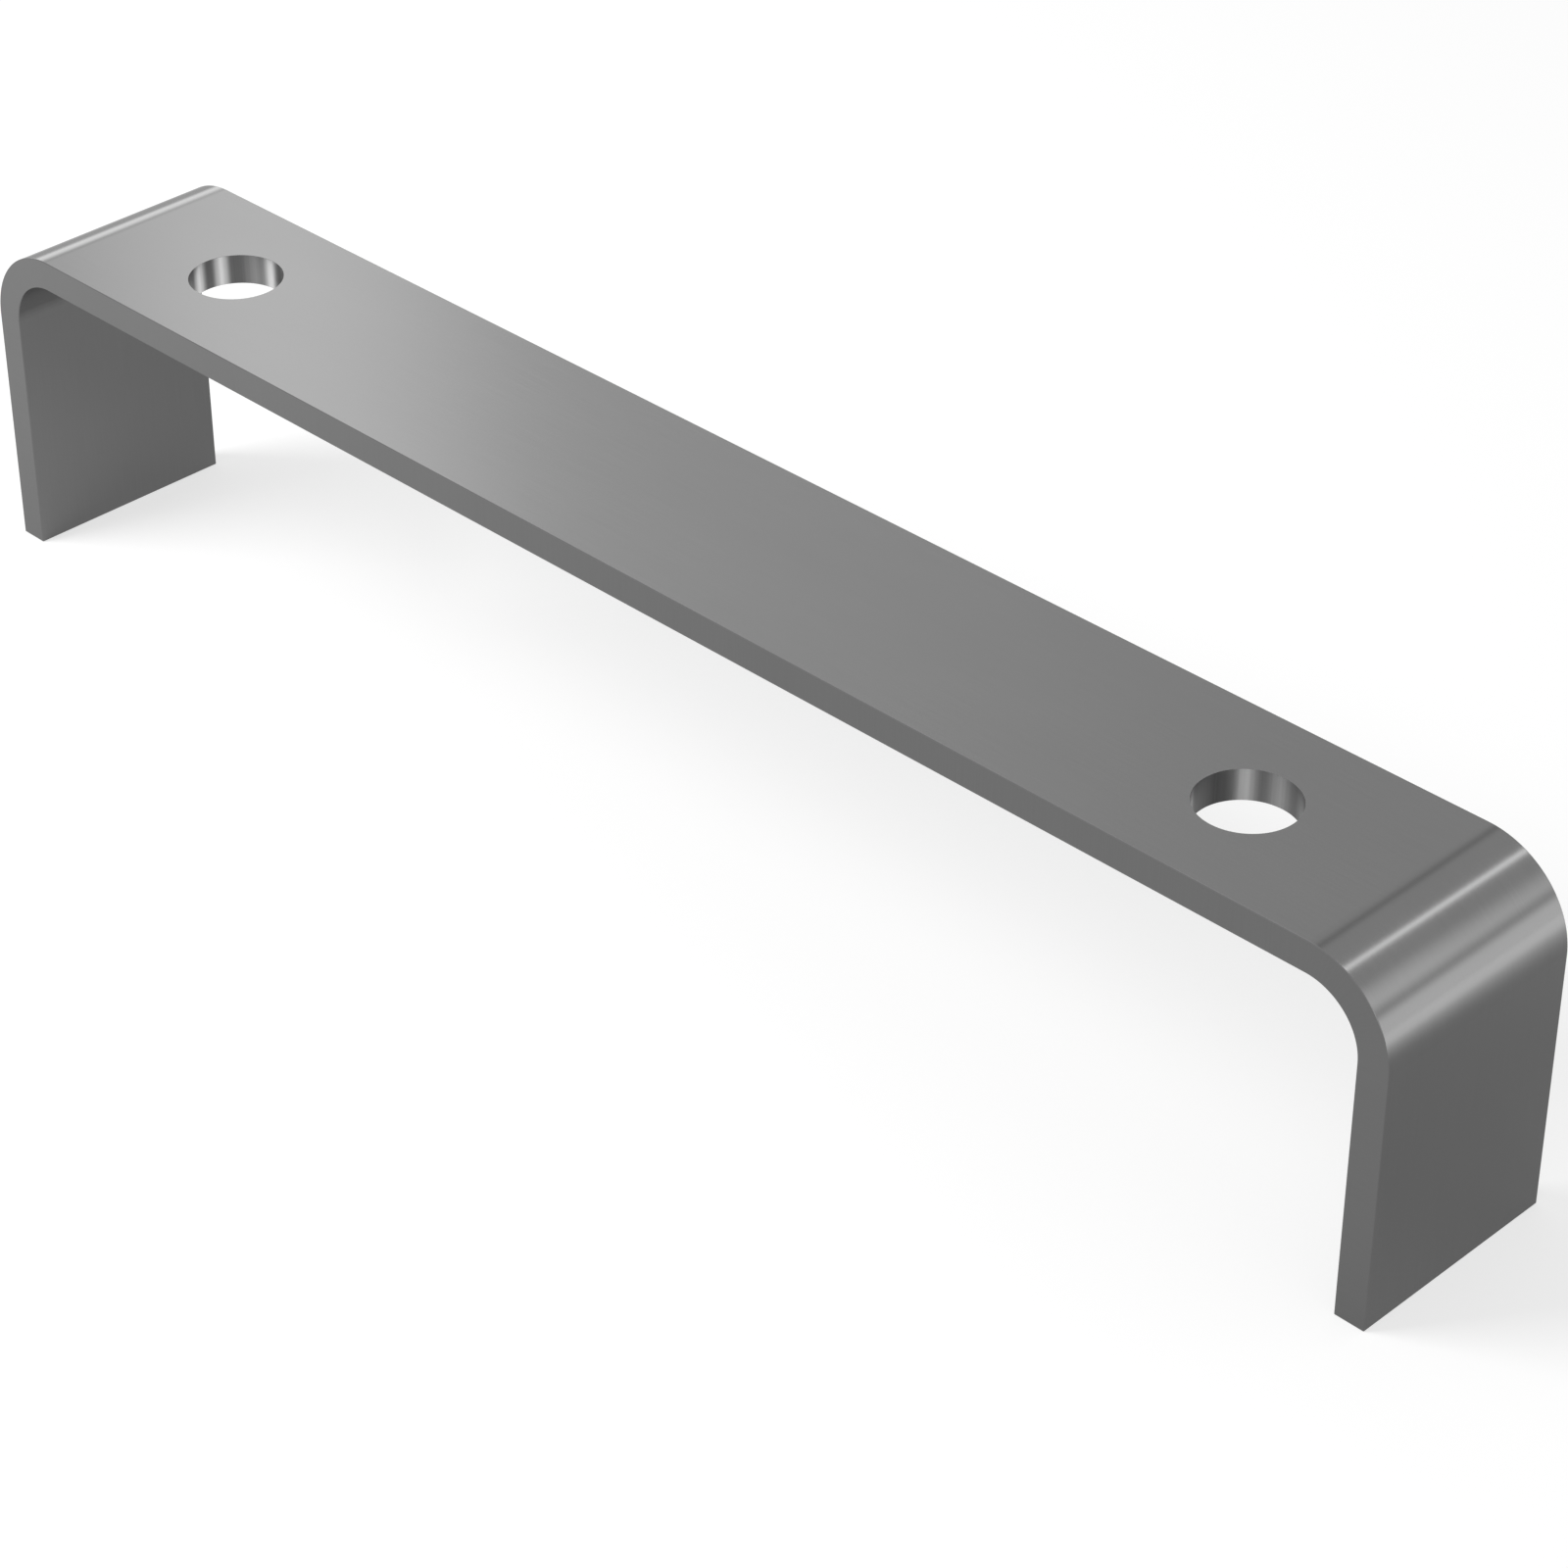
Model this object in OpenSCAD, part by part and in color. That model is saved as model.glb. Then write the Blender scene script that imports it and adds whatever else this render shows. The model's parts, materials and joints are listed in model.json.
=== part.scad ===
// U-shaped mounting bracket, folded from one length of flat steel strip.
// It stands on the ends of its two legs: X runs along the web, Z points up,
// and the origin lies on the floor midway between the legs.

/* [Strip] */
// Width of the strip
strip_width = 25.4; // [16:0.1:60]
// Thickness of the strip, the same in the web, the bends and the legs
strip_thickness = 3.42; // [1.5:0.01:6]
// Chamfer that breaks the strip's four long edges
edge_break = 0.2; // [0.05:0.05:0.5]

/* [Folded shape] */
// Length over the outer faces of the two legs
overall_length = 196.85; // [100:0.05:400]
// Height from the feet to the top of the web
overall_height = 38.1; // [20:0.05:120]
// Inside radius of the two bends
bend_radius = 6.35; // [1:0.05:12]

/* [Bolt holes] */
// Diameter of each bolt hole
hole_diameter = 10.32; // [4:0.01:14]
// Distance from a leg's outer face to the centre of the hole beside it
hole_setback = 26.99; // [18:0.01:44]

/* [Hidden] */

$fn = 96;
steel_grey = [0.56, 0.57, 0.58];
bend_angle = 90;

// The bends' outer faces share their centres with the inner faces
outer_radius = bend_radius + strip_thickness;
// What the two bends leave flat
web_length = overall_length - 2 * outer_radius;
leg_length = overall_height - outer_radius;
// Centre-to-centre distance of the bolt holes
hole_spacing = overall_length - 2 * hole_setback;
// How far the drill runs past both faces of the web
drill_overrun = 1;

// Section of the strip: thickness along x from the inner face, width along y
module strip_section() {
  half_width = strip_width / 2;
  corners = [
    [edge_break, -half_width],
    [strip_thickness - edge_break, -half_width],
    [strip_thickness, edge_break - half_width],
    [strip_thickness, half_width - edge_break],
    [strip_thickness - edge_break, half_width],
    [edge_break, half_width],
    [0, half_width - edge_break],
    [0, edge_break - half_width],
  ];
  polygon(corners);
}

// Straight run of strip, standing on the floor with its inner face at x = 0
module flat_run(length) {
  linear_extrude(height = length) strip_section();
}

// Web between the bends, its top at the overall height
module web() {
  translate([-web_length / 2, 0, overall_height - strip_thickness])
    rotate([0, 90, 0])
      mirror([1, 0, 0])
        flat_run(web_length);
}

// Leg at the +X end, square-cut at the foot
module leg() {
  translate([overall_length / 2 - strip_thickness, 0, 0])
    flat_run(leg_length);
}

// Quarter bend at the +X end, from the top of the leg to the end of the web
module bend() {
  translate([web_length / 2, 0, leg_length])
    rotate([90, 0, 0])
      rotate_extrude(angle = bend_angle)
        translate([bend_radius, 0])
          strip_section();
}

// Drill through the web at both hole centres
module bolt_holes() {
  for (side = [-1, 1])
    translate([side * hole_spacing / 2, 0, overall_height - strip_thickness / 2])
      cylinder(d = hole_diameter, h = strip_thickness + 2 * drill_overrun, center = true);
}

// The folded strip: two like ends joined by the web, with its bolt holes
module bracket() {
  color(steel_grey)
    difference() {
      union() {
        web();
        for (end = [0, 1])
          mirror([end, 0, 0]) {
            leg();
            bend();
          }
      }
      bolt_holes();
    }
}

bracket();
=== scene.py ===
import json
import math

import bpy
import numpy as np
from mathutils import Matrix, Vector


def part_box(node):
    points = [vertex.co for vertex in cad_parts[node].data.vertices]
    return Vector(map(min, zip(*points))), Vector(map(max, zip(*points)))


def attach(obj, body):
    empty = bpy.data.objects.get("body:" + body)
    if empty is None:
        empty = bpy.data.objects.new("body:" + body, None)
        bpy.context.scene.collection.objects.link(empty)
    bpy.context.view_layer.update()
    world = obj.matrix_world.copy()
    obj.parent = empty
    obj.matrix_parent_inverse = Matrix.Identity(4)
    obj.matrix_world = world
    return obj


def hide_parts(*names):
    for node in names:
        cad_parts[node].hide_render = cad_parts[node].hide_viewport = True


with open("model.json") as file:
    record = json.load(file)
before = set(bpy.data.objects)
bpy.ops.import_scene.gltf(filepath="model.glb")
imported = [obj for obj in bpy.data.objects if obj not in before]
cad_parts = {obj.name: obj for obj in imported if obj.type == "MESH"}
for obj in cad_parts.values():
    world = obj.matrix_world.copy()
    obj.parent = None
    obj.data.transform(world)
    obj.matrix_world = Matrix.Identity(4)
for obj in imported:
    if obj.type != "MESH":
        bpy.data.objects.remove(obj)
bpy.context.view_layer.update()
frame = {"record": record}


# The blank. The bracket starts as one length of flat steel strip, sheared to
# length, with two bolt holes punched through it near its ends. Its sheared
# edges are lightly rounded by deburring, and the holes' rims are left crisp.
mounts = {mount["name"]: mount for mount in frame["record"]["mounts"]}
_, strip_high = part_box("bracket")
half_length = strip_high.x
half_width = strip_high.y
web_top = strip_high.z
thickness = web_top - mounts["web_underside"]["pos_m"][2]
hole_radius = mounts["right_hole"]["dims"]["r_mm"] / 1000
hole_x = mounts["right_hole"]["pos_m"][0]

bend_inside = 0.00635
bend_outside = bend_inside + thickness
half_web = half_length - bend_outside
quarter_turn = math.pi / 2
bend_run = quarter_turn * bend_outside
leg_run = web_top - bend_outside
deburr = 0.0001
crisp = 0.00002
squeeze_and_shade_run = math.radians(12.0)
inner_length = half_web + bend_run + leg_run - deburr
inner_width = half_width - deburr

rows_across = 36
rings_round_hole = 10
steps_round_edge = 4
bend_steps = 60
leg_steps = 6
end_steps = 3
middle_steps = 16


def blank_rows():
    """Lines across the strip's width, spaced as the tangents of even angles from -45 to 45 degrees.
    A square patch with these lines round a hole then meets the rim at even angles."""
    angles = np.linspace(-quarter_turn / 2, quarter_turn / 2, rows_across + 1)
    return inner_width * np.tan(angles)


def blank_spans():
    """Lines along the strip, as one array for each plain stretch between the hole patches."""
    bend_end = half_web + bend_run
    end = np.concatenate([
        np.linspace(hole_x + inner_width, half_web, end_steps + 1)[:-1],
        np.linspace(half_web, bend_end, bend_steps + 1)[:-1],
        np.linspace(bend_end, inner_length, leg_steps + 1),
    ])
    middle = np.linspace(inner_width - hole_x, hole_x - inner_width, middle_steps + 1)
    return [-end[::-1], middle, end]


def fold(along, across, depth, lean):
    """Folds points of the blank, and turns their normals with them.
    along is measured on the outer face from the strip's middle, depth inwards from that face, and lean
    is the normal's share along, across and out of the strip. Up to half_web a point stays in the web.
    Then it runs round the bend's centre at the radius bend_outside - depth, through along over
    bend_outside radians, and past the quarter turn it hangs straight down."""
    side = np.sign(along)
    past = np.maximum(np.abs(along) - half_web, 0)
    turn = np.minimum(past / bend_outside, quarter_turn)
    hang = np.maximum(past - bend_run, 0)
    reach = bend_outside - depth
    x = side * (np.minimum(np.abs(along), half_web) + reach * np.sin(turn))
    z = web_top - bend_outside + reach * np.cos(turn) - hang
    lean_along, lean_across, lean_out = lean
    normal_x = lean_along * np.cos(turn) + lean_out * side * np.sin(turn)
    normal_z = lean_out * np.cos(turn) - lean_along * side * np.sin(turn)
    points = np.stack([x, across, z], -1)
    normals = np.stack([normal_x, lean_across, normal_z], -1)
    return points, normals


def face_patch(along, across, out):
    """A patch of the outer face (out 1) or the inner face (out -1), grained along the strip. The
    inner face of each bend has a share that grows from 0 at either end of the bend to 1 at
    squeeze_and_shade_run radians into it. It is the press's squeeze, which dulls the face, and
    also painted shade, which darkens it."""
    along, across = np.broadcast_arrays(along, across)
    flat = np.zeros_like(along)
    depth = flat + (0 if out > 0 else thickness)
    points, normals = fold(along, across, depth, (flat, flat, flat + out))
    turn = np.clip((np.abs(along) - half_web) / bend_outside, 0, quarter_turn)
    # The share that dulls the inside of each bend and darkens it with painted shade.
    squeezed = flat if out > 0 else np.minimum(np.minimum(turn, quarter_turn - turn) / squeeze_and_shade_run, 1)
    return points, normals, np.stack([along, across], -1), flat, squeezed


def hole_angles():
    """Even angles once round a hole, from a corner of the square of face round it."""
    return np.linspace(0, 4 * quarter_turn, 4 * rows_across + 1) - quarter_turn / 2


def hole_patch(centre, out):
    """The square of face round a hole: straight lines from the rim's circle out to the square, where
    a ray at each angle is as long as the square's half side over its larger sine or cosine."""
    angle = hole_angles()
    share = np.linspace(0, 1, rings_round_hole + 1)[:, None]
    square = inner_width / np.maximum(np.abs(np.cos(angle)), np.abs(np.sin(angle)))
    radius = (1 - share) * (hole_radius + crisp) + share * square
    return face_patch(centre + radius * np.cos(angle), radius * np.sin(angle), out)


def cut_wall(along, across, heading, rounding, drag):
    """The wall left by a cut, carried along an outline of the face: a quarter round off the outer
    face, a straight drop through the thickness and a quarter round onto the inner face. heading is
    the angle in the blank's plane that the wall faces, rounding is the quarter rounds' radius, and
    drag is the drop's tone, with marks that are partly a punch's burnishing and
    partly painted reflection, or 0 for a plain sheared one. The wall's grain runs through the
    thickness."""
    quarter = np.linspace(0, quarter_turn, steps_round_edge + 1)
    drop = np.array([quarter_turn, quarter_turn])
    step = np.hypot(np.diff(along, append=along[:1]), np.diff(across, append=across[:1]))
    run = along[0] + np.concatenate([[0], np.cumsum(step)[:-1]])
    patches = []
    for roll, lower, tone in (
        (quarter, 0 * quarter, 0),
        (drop, np.array([0, 1]), drag),
        (quarter + quarter_turn, 1 + 0 * quarter, 0),
    ):
        roll = roll[:, None]
        depth = rounding * (1 - np.cos(roll)) + lower[:, None] * (thickness - 2 * rounding)
        out = rounding * np.sin(roll)
        flat = np.zeros(np.broadcast_shapes(roll.shape, along.shape))
        lean = (np.sin(roll) * np.cos(heading), np.sin(roll) * np.sin(heading), np.cos(roll) + flat)
        wall_along = along + out * np.cos(heading)
        wall_across = across + out * np.sin(heading)
        points, normals = fold(wall_along, wall_across, depth + flat, lean)
        patches.append((points, normals, np.stack([depth + flat, run + flat], -1), flat + tone, flat))
    return patches


def blank_outline():
    """Once round the blank's edge, with a quarter turn of the heading at each corner."""
    rows = blank_rows()
    spans = blank_spans()
    lines = np.concatenate([spans[0], rows[1:-1] - hole_x, spans[1], rows[1:-1] + hole_x, spans[2]])
    turning = np.linspace(0, quarter_turn, steps_round_edge + 1)[1:-1]
    sides = [
        (inner_length + 0 * rows, rows),
        (lines[::-1], inner_width + 0 * lines),
        (-inner_length + 0 * rows, rows[::-1]),
        (lines, -inner_width + 0 * lines),
    ]
    along, across, heading = [], [], []
    for number, (side_along, side_across) in enumerate(sides):
        along += [side_along, side_along[-1] + 0 * turning]
        across += [side_across, side_across[-1] + 0 * turning]
        heading += [0 * side_along + number * quarter_turn, number * quarter_turn + turning]
    closed = [np.concatenate([*part, part[0][:1]]) for part in (along, across, heading)]
    closed[2][-1] = 4 * quarter_turn
    return closed


def hole_outline(centre):
    """Once round a hole's rim. Its wall faces the hole's centre."""
    angle = hole_angles()
    rim = hole_radius + crisp
    return centre + rim * np.cos(angle), rim * np.sin(angle), angle + 2 * quarter_turn


# Each hole's wall is dull, a little darker than the face between its marks, and has bright marks
# down it that are partly the punch's burnishing and partly painted reflection. They are drawn at
# random, about as many, as wide and as bright as the photograph shows. Half widths are in degrees.
wall_plain = 0.9
marks_round = 11
mark_wander = 0.4
least_half_width = 10
most_half_width = 20
faintest_mark = 0.5
left_strongest = 4.5
right_strongest = 3
left_seed = 5
right_seed = 16


def burnish_and_reflection(seed, strongest):
    """How bright the wall is round a hole, as a share of the steel's own colour: wall_plain, plus a
    hump for each mark, which is partly burnishing and partly painted reflection. The marks are spaced
    evenly and then moved by up to mark_wander of a space, and most are faint, as their strengths are
    drawn as squares. With t falling from 1 at a mark's middle to 0 at its half width, the hump is its
    strength times 3 t squared less 2 t cubed."""
    draw = np.random.default_rng(seed)
    wander = draw.uniform(-mark_wander, mark_wander, marks_round)
    middle = (np.arange(marks_round) + wander) * 360 / marks_round
    half = draw.uniform(least_half_width, most_half_width, marks_round)
    strength = faintest_mark + (strongest - faintest_mark) * draw.random(marks_round)**2
    away = np.degrees(hole_angles())[:, None] - middle
    near = np.clip(1 - np.abs((away + 180) % 360 - 180) / half, 0, 1)
    return wall_plain + (strength * near**2 * (3 - 2 * near)).sum(-1)


def sewn_mesh(name, patches):
    """One closed mesh from grids of points, normals, grain, drag tones and
    squeezed shares. Points that round to the same tenth of a micron become one, faces are
    turned to agree with their normals, and faces folded up at the corners' poles lose their repeated
    point."""
    points = np.concatenate([patch[0].reshape(-1, 3) for patch in patches])
    normals = np.concatenate([patch[1].reshape(-1, 3) for patch in patches])
    grain = np.concatenate([patch[2].reshape(-1, 2) for patch in patches])
    drag = np.concatenate([patch[3].ravel() for patch in patches])
    squeezed = np.concatenate([patch[4].ravel() for patch in patches])
    quads, first = [], 0
    for patch in patches:
        number = first + np.arange(patch[3].size).reshape(patch[3].shape)
        corners = (number[:-1, :-1], number[1:, :-1], number[1:, 1:], number[:-1, 1:])
        quads.append(np.stack([corner.ravel() for corner in corners], -1))
        first += number.size
    quads = np.concatenate(quads)
    first_diagonal = points[quads[:, 2]] - points[quads[:, 0]]
    second_diagonal = points[quads[:, 3]] - points[quads[:, 1]]
    facing = np.cross(first_diagonal, second_diagonal)
    inward = np.einsum("ij,ij->i", facing, normals[quads].sum(1)) < 0
    quads[inward] = quads[inward][:, ::-1]

    tenth_micron = 1e-7
    cells = np.round(points / tenth_micron).astype(np.int64)
    _, kept, merged = np.unique(cells, axis=0, return_index=True, return_inverse=True)
    merged = merged.ravel()
    ends = merged[quads]
    repeats = ends == np.roll(ends, -1, axis=1)
    whole = ~repeats.any(1)
    pinched = repeats.sum(1) == 1
    keep = ~repeats[pinched]
    triangles = ends[pinched][keep].reshape(-1, 3)
    triangle_corners = quads[pinched][keep].reshape(-1, 3)

    mesh = bpy.data.meshes.new(name)
    mesh.from_pydata(points[kept].tolist(), [], ends[whole].tolist() + triangles.tolist())
    mesh.polygons.foreach_set("use_smooth", [True] * len(mesh.polygons))
    uv = mesh.uv_layers.new(name="grain")
    order = np.concatenate([quads[whole].ravel(), triangle_corners.ravel()])
    uv.data.foreach_set("uv", grain[order].ravel())
    for mark, values in (("drag", drag), ("squeezed", squeezed)):
        mesh.attributes.new(mark, "FLOAT", "CORNER").data.foreach_set("value", values[order])
    mesh.normals_split_custom_set_from_vertices(normals[kept])
    piece = bpy.data.objects.new(name, mesh)
    bpy.context.scene.collection.objects.link(piece)
    return piece


patches = cut_wall(*blank_outline(), deburr, 0)
for out in (1, -1):
    for span in blank_spans():
        patches.append(face_patch(span[:, None], blank_rows()[None, :], out))
    for centre in (-hole_x, hole_x):
        patches.append(hole_patch(centre, out))
# Each hole wall's tone has bright marks, partly burnishing and partly painted reflection.
for centre, seed, strongest in (
    (-hole_x, left_seed, left_strongest),
    (hole_x, right_seed, right_strongest),
):
    patches += cut_wall(*hole_outline(centre), crisp, burnish_and_reflection(seed, strongest))
bracket = sewn_mesh("folded_bracket", patches)


# The steel. Plain rolled strip with a satin skin: the rollers leave a very
# fine grain along the strip, which follows it round the bends. The inside of
# each bend is dull from the press's squeeze, and darker with painted shade. The
# punch streaked the walls of the holes, and their bright marks are partly its
# burnishing and partly painted reflection.
steel_colour = (0.145, 0.145, 0.145)
steel_edge_tint = (0.85, 0.85, 0.85, 1.0)
rolled_roughness = 0.155
punched_roughness = 0.42
burnished_roughness = 0.30
burnished_drag = 3.5
squeezed_roughness = 0.52
# The painted shade's darkest tone, in the middle of each bend's inner face.
squeezed_painted_shade = 0.77
# Each kind of streak: its length along the grain and width across it in metres, and its noise detail.
grain_streaks = (0.009, 0.00016, 3.0)
cloud_streaks = (0.030, 0.012, 2.0)
hair_streaks = (0.020, 0.00035, 2.0)
# How far up or down the streaks move the tone, as a share of it, and the roughness.
grain_tone = 0.025
cloud_tone = 0.015
hair_tone = 0.1
grain_roughness = 0.01
bump_strength = 0.10
bump_depth = 0.000004


def joined(nodes, links, operation, first, second):
    """A maths node on two sockets or numbers."""
    node = nodes.new("ShaderNodeMath")
    node.operation = operation
    for socket, value in zip(node.inputs, (first, second)):
        if isinstance(value, (int, float)):
            socket.default_value = value
        else:
            links.new(value, socket)
    return node.outputs["Value"]


def satin_steel():
    """Metal with streaks of noise, long along the grain and narrow across it, that move its colour,
    its roughness and a very low bump. A punched wall takes its tone and roughness from its
    drag share, whose bright marks are partly burnishing and partly painted reflection,
    and the face grows duller with its squeezed share, and darker with painted shade."""
    material = bpy.data.materials.new("satin_steel")
    material.use_nodes = True
    nodes, links = material.node_tree.nodes, material.node_tree.links
    surface = nodes["Principled BSDF"]
    surface.inputs["Metallic"].default_value = 1.0
    surface.inputs["Specular Tint"].default_value = steel_edge_tint
    uv = nodes.new("ShaderNodeUVMap")
    uv.uv_map = "grain"

    def stored(name):
        node = nodes.new("ShaderNodeAttribute")
        node.attribute_name = name
        return node.outputs["Fac"]

    def streaks(length, width, detail):
        stretch = nodes.new("ShaderNodeMapping")
        stretch.inputs["Scale"].default_value = (1 / length, 1 / width, 1)
        noise = nodes.new("ShaderNodeTexNoise")
        noise.inputs["Scale"].default_value = 1.0
        noise.inputs["Detail"].default_value = detail
        links.new(uv.outputs["UV"], stretch.inputs["Vector"])
        links.new(stretch.outputs["Vector"], noise.inputs["Vector"])
        return noise.outputs["Fac"]

    def spread(factor, low, high, least=0.25, most=0.75):
        scale = nodes.new("ShaderNodeMapRange")
        scale.inputs["From Min"].default_value = least
        scale.inputs["From Max"].default_value = most
        scale.inputs["To Min"].default_value = low
        scale.inputs["To Max"].default_value = high
        links.new(factor, scale.inputs["Value"])
        return scale.outputs["Result"]

    def either_side(factor, reach):
        return spread(factor, 1 - reach, 1 + reach)

    def where_punched(rolled, cut):
        mix = nodes.new("ShaderNodeMix")
        links.new(punched, mix.inputs["Factor"])
        for socket, value in zip(mix.inputs[2:4], (rolled, cut)):
            links.new(value, socket)
        return mix.outputs["Result"]

    drag = stored("drag")
    squeezed = stored("squeezed")
    punched = joined(nodes, links, "GREATER_THAN", drag, wall_plain / 2)
    grain = streaks(*grain_streaks)
    cloud = either_side(streaks(*cloud_streaks), cloud_tone)
    hair = either_side(streaks(*hair_streaks), hair_tone)
    # The inside of each bend is darkened with painted shade.
    face_tone = joined(nodes, links, "MULTIPLY", cloud, spread(squeezed, 1, squeezed_painted_shade, 0, 1))
    # The hole walls' bright marks are partly burnishing and partly painted reflection.
    wall_tone = joined(nodes, links, "MULTIPLY", drag, hair)
    tone = where_punched(face_tone, wall_tone)
    tone = joined(nodes, links, "MULTIPLY", either_side(grain, grain_tone), tone)
    colour = nodes.new("ShaderNodeVectorMath")
    colour.operation = "SCALE"
    colour.inputs[0].default_value = steel_colour
    links.new(tone, colour.inputs["Scale"])
    links.new(colour.outputs["Vector"], surface.inputs["Base Color"])
    rolled = spread(squeezed, rolled_roughness, squeezed_roughness, 0, 1)
    rolled = joined(nodes, links, "ADD", spread(grain, -grain_roughness, grain_roughness), rolled)
    cut = spread(drag, punched_roughness, burnished_roughness, wall_plain, burnished_drag)
    links.new(where_punched(rolled, cut), surface.inputs["Roughness"])
    bump = nodes.new("ShaderNodeBump")
    bump.inputs["Strength"].default_value = bump_strength
    bump.inputs["Distance"].default_value = bump_depth
    links.new(grain, bump.inputs["Height"])
    links.new(bump.outputs["Normal"], surface.inputs["Normal"])
    return material


bracket.data.materials.append(satin_steel())
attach(bracket, "root")
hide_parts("bracket")


# The floor. A plain white table top that the bracket stands on. It looks white
# wherever the bracket's soft shadow doesn't fall. Mirrored in the steel, it
# also has soft pools of light and shade, which the camera doesn't see.
floor_reach = 3.0
floor_drop = 0.00002
floor_colour = 0.47
floor_glow = 0.63
floor_far_glow = 0.765
# Each pool: its centre, its inner and outer radius in metres, and its strength, below 0 for shade.
pools = [
    ((0.60, 0.49, 0.0), 0.46, 0.66, 1.8),
    ((1.67, 1.53, 0.0), 0.84, 1.04, 1.8),
    ((-0.16, -0.09, 0.0), 0.02, 0.16, 0.2),
    ((-0.47, 0.26, 0.0), 0.26, 0.40, -0.28),
    ((0.125, 0.025, 0.0), 0.02, 0.07, -0.16),
    ((-0.182, 0.075, 0.0), 0.006, 0.045, -0.32),
]
# The lamp's light dies away towards the horizon, and the floor's glow rises there to stay white.
glow_near = 0.25
glow_far = 0.65


def seen_rays(nodes):
    """The Light Path outputs for rays that the camera sends, and that a mirror or clear glass sends."""
    path = nodes.new("ShaderNodeLightPath")
    return [path.outputs[name] for name in ("Is Camera Ray", "Is Glossy Ray", "Is Transmission Ray")]


def ramp(nodes, links, value, low, high, at_low, at_high):
    """A smooth step between two numbers of value."""
    node = nodes.new("ShaderNodeMapRange")
    node.interpolation_type = "SMOOTHSTEP"
    for name, number in zip(("From Min", "From Max", "To Min", "To Max"), (low, high, at_low, at_high)):
        node.inputs[name].default_value = number
    links.new(value, node.inputs["Value"])
    return node.outputs["Result"]


def table_white():
    """White paint, with a share of its whiteness given to the rays that see it or mirror it."""
    material = bpy.data.materials.new("table_white")
    material.use_nodes = True
    nodes, links = material.node_tree.nodes, material.node_tree.links
    nodes.clear()
    paint = nodes.new("ShaderNodeBsdfDiffuse")
    paint.inputs["Color"].default_value = (floor_colour, floor_colour, floor_colour, 1)
    camera_ray, glossy_ray, clear_ray = seen_rays(nodes)
    seen = joined(nodes, links, "MAXIMUM", camera_ray, glossy_ray)
    seen = joined(nodes, links, "MAXIMUM", seen, clear_ray)
    place = nodes.new("ShaderNodeTexCoord")

    def round_ramp(centre, inner, outer, at_inner, at_outer):
        away = nodes.new("ShaderNodeVectorMath")
        away.operation = "DISTANCE"
        away.inputs[1].default_value = centre
        links.new(place.outputs["Object"], away.inputs[0])
        return ramp(nodes, links, away.outputs["Value"], inner, outer, at_inner, at_outer)

    level = round_ramp((0.0, 0.0, 0.0), glow_near, glow_far, floor_glow, floor_far_glow)
    level = joined(nodes, links, "MULTIPLY", seen, level)
    for centre, inner, outer, strength in pools:
        pool = round_ramp(centre, inner, outer, strength, 0)
        pool = joined(nodes, links, "MULTIPLY", pool, glossy_ray)
        level = joined(nodes, links, "ADD", level, pool)
    glow = nodes.new("ShaderNodeEmission")
    links.new(level, glow.inputs["Strength"])
    both = nodes.new("ShaderNodeAddShader")
    links.new(paint.outputs["BSDF"], both.inputs[0])
    links.new(glow.outputs["Emission"], both.inputs[1])
    output = nodes.new("ShaderNodeOutputMaterial")
    links.new(both.outputs["Shader"], output.inputs["Surface"])
    return material


corners = [(-1, -1), (1, -1), (1, 1), (-1, 1)]
floor_points = [(x * floor_reach, y * floor_reach, -floor_drop) for x, y in corners]
floor_mesh = bpy.data.meshes.new("floor")
floor_mesh.from_pydata(floor_points, [], [(0, 1, 2, 3)])
floor = bpy.data.objects.new("floor", floor_mesh)
bpy.context.scene.collection.objects.link(floor)
floor_mesh.materials.append(table_white())


# The studio. A plain even dome and one soft lamp at the camera's left light
# everything. Mirrored in the steel, the dome is white at the horizon, a little
# brighter overhead, and carries feathered panels that give the steel its sheen.
dome_plain = 0.5
dome_horizon = 1.0
dome_overhead = 1.225
dome_rise = 30.0
no_light = 1e-6
# Each panel: where it starts and ends in azimuth and its feather there, the same in elevation, all in
# degrees, and its strength, below 0 for a dark gap. Azimuth runs from +X towards +Y, from -90 to 270.
panels = [
    ((140, 145, 4), (23, 75, 6), 1.4),
    ((132, 160, 14), (25, 75, 10), 0.4),
    ((130, 170, 4), (8, 20, 8), 2.2),
    ((74, 79.5, 3), (25, 75, 6), 3.4),
    ((15, 52, 14), (20, 40, 10), 1.2),
    ((15, 60, 14), (-13, 13, 8), 1.5),
    ((113.5, 119, 5), (36, 75, 4), -0.5),
    ((-50, -20, 10), (6, 34, 12), 1.5),
]
lamp_place = Vector((-0.30, -0.34, 0.42))
lamp_side = 0.30
lamp_level = 0.44


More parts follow.
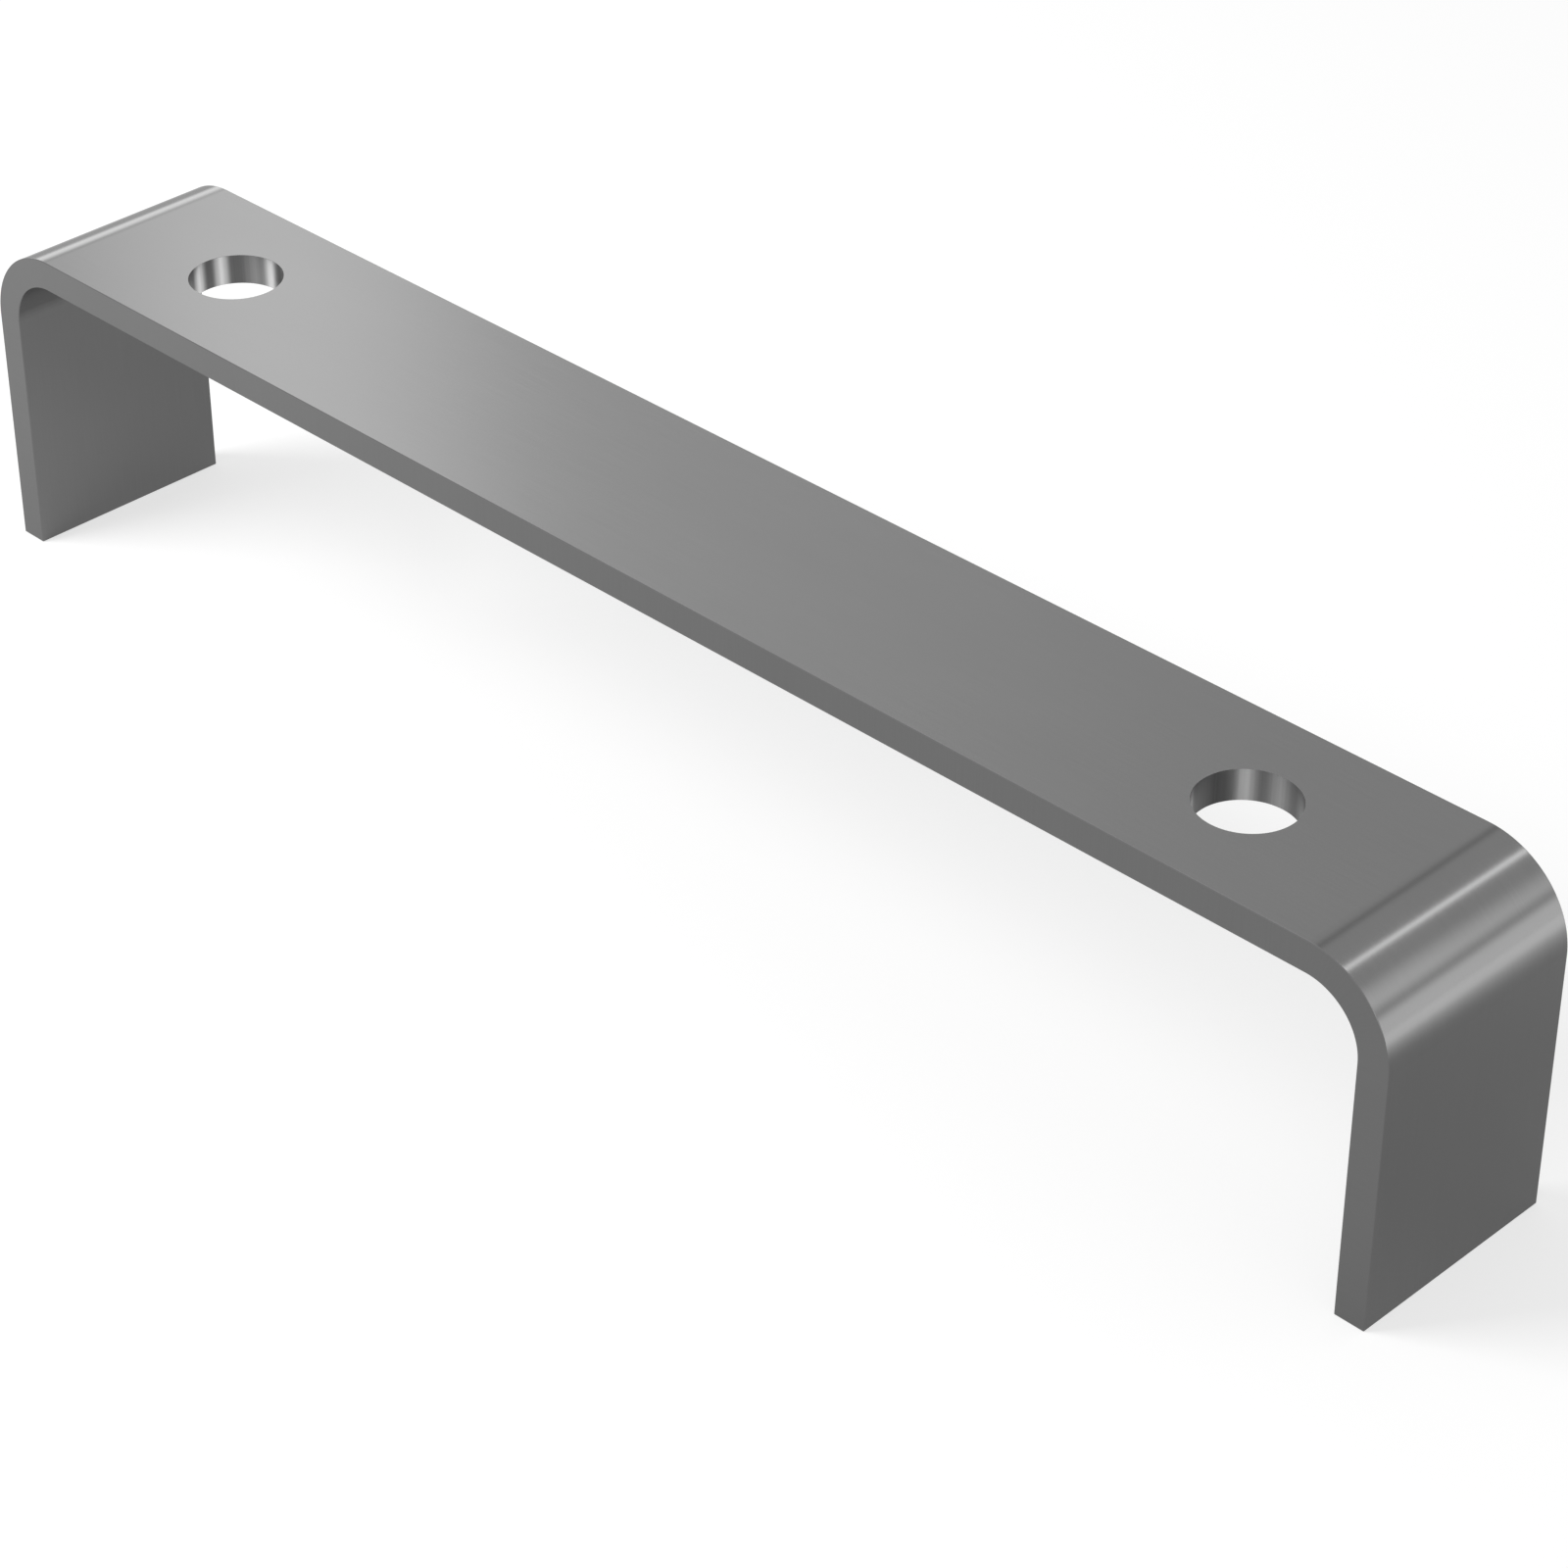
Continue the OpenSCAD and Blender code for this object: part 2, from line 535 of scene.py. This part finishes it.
def studio():
    """The dome's strength as a function of direction: a rise with elevation up to dome_rise degrees,
    plus a smooth-sided box in azimuth and elevation for each panel. Only mirrored rays find it so.
    The camera and clear things see dome_horizon, and what lights the object is dome_plain."""
    world = bpy.data.worlds.new("studio")
    bpy.context.scene.world = world
    world.use_nodes = True
    world.cycles.sampling_method = "NONE"
    nodes, links = world.node_tree.nodes, world.node_tree.links
    nodes.clear()

    def box(value, low, high, feather):
        edge = feather / 2
        rise = ramp(nodes, links, value, low - edge, low + edge, 0, 1)
        fall = ramp(nodes, links, value, high - edge, high + edge, 1, 0)
        return joined(nodes, links, "MULTIPLY", rise, fall)

    direction = nodes.new("ShaderNodeSeparateXYZ")
    place = nodes.new("ShaderNodeTexCoord")
    links.new(place.outputs["Generated"], direction.inputs["Vector"])
    x, y, z = direction.outputs
    turn = joined(nodes, links, "MULTIPLY", joined(nodes, links, "ARCTAN2", y, x), math.degrees(1))
    behind = joined(nodes, links, "MULTIPLY", joined(nodes, links, "LESS_THAN", turn, -90.0), 360.0)
    azimuth = joined(nodes, links, "ADD", turn, behind)
    upward = joined(nodes, links, "ARCSINE", z, 0.0)
    elevation = joined(nodes, links, "MULTIPLY", upward, math.degrees(1))
    mirrored = ramp(nodes, links, elevation, 0.0, dome_rise, dome_horizon, dome_overhead)
    for sideways, upwards, level in panels:
        patch = joined(nodes, links, "MULTIPLY", box(azimuth, *sideways), box(elevation, *upwards))
        patch = joined(nodes, links, "MULTIPLY", patch, level)
        mirrored = joined(nodes, links, "ADD", mirrored, patch)

    camera_ray, glossy_ray, clear_ray = seen_rays(nodes)
    strength = joined(nodes, links, "MULTIPLY", glossy_ray, mirrored)
    for ray in (camera_ray, clear_ray):
        seen = joined(nodes, links, "MULTIPLY", ray, dome_horizon)
        strength = joined(nodes, links, "ADD", strength, seen)
    unseen = joined(nodes, links, "LESS_THAN", strength, no_light)
    lighting = joined(nodes, links, "MULTIPLY", unseen, dome_plain)
    strength = joined(nodes, links, "ADD", strength, lighting)
    background = nodes.new("ShaderNodeBackground")
    background.inputs["Color"].default_value = (1, 1, 1, 1)
    links.new(strength, background.inputs["Strength"])
    output = nodes.new("ShaderNodeOutputWorld")
    links.new(background.outputs["Background"], output.inputs["Surface"])


studio()
lamp_data = bpy.data.lights.new("soft_lamp", "AREA")
lamp_data.size = lamp_side
# The power at which the lamp alone brings a level white surface at the origin to lamp_level.
tilt = lamp_place.z / lamp_place.length
lamp_data.energy = lamp_level * math.pi * math.pi * lamp_place.length_squared / tilt
lamp = bpy.data.objects.new("soft_lamp", lamp_data)
lamp.location = lamp_place
lamp.rotation_euler = (-lamp_place).to_track_quat("-Z", "Y").to_euler()
lamp.visible_camera = False
lamp.visible_glossy = False
bpy.context.scene.collection.objects.link(lamp)


# The camera stands off the bracket's near end, at 45 degrees to the strip, and
# looks down on it with no tilt to either side.
view_azimuth = math.radians(45.0)
view_elevation = math.radians(34.08)
view_distance = 0.4421
view_target = Vector((0.01075, 0.00202, 0.00993))
lens_mm = 100.0
sensor_mm = 36.0
nearest_seen = 0.01
farthest_seen = 20.0

camera_data = bpy.data.cameras.new("camera")
camera_data.lens = lens_mm
camera_data.sensor_width = sensor_mm
camera_data.clip_start = nearest_seen
camera_data.clip_end = farthest_seen
camera = bpy.data.objects.new("camera", camera_data)
bpy.context.scene.collection.objects.link(camera)
back = Vector((
    math.sin(view_azimuth) * math.cos(view_elevation),
    -math.cos(view_azimuth) * math.cos(view_elevation),
    math.sin(view_elevation),
))
camera.matrix_world = Matrix.Translation(view_target + back * view_distance) @ (
    (-back).to_track_quat("-Z", "Y").to_matrix().to_4x4()
)
bpy.context.scene.camera = camera
bpy.context.scene.view_settings.view_transform = "Standard"
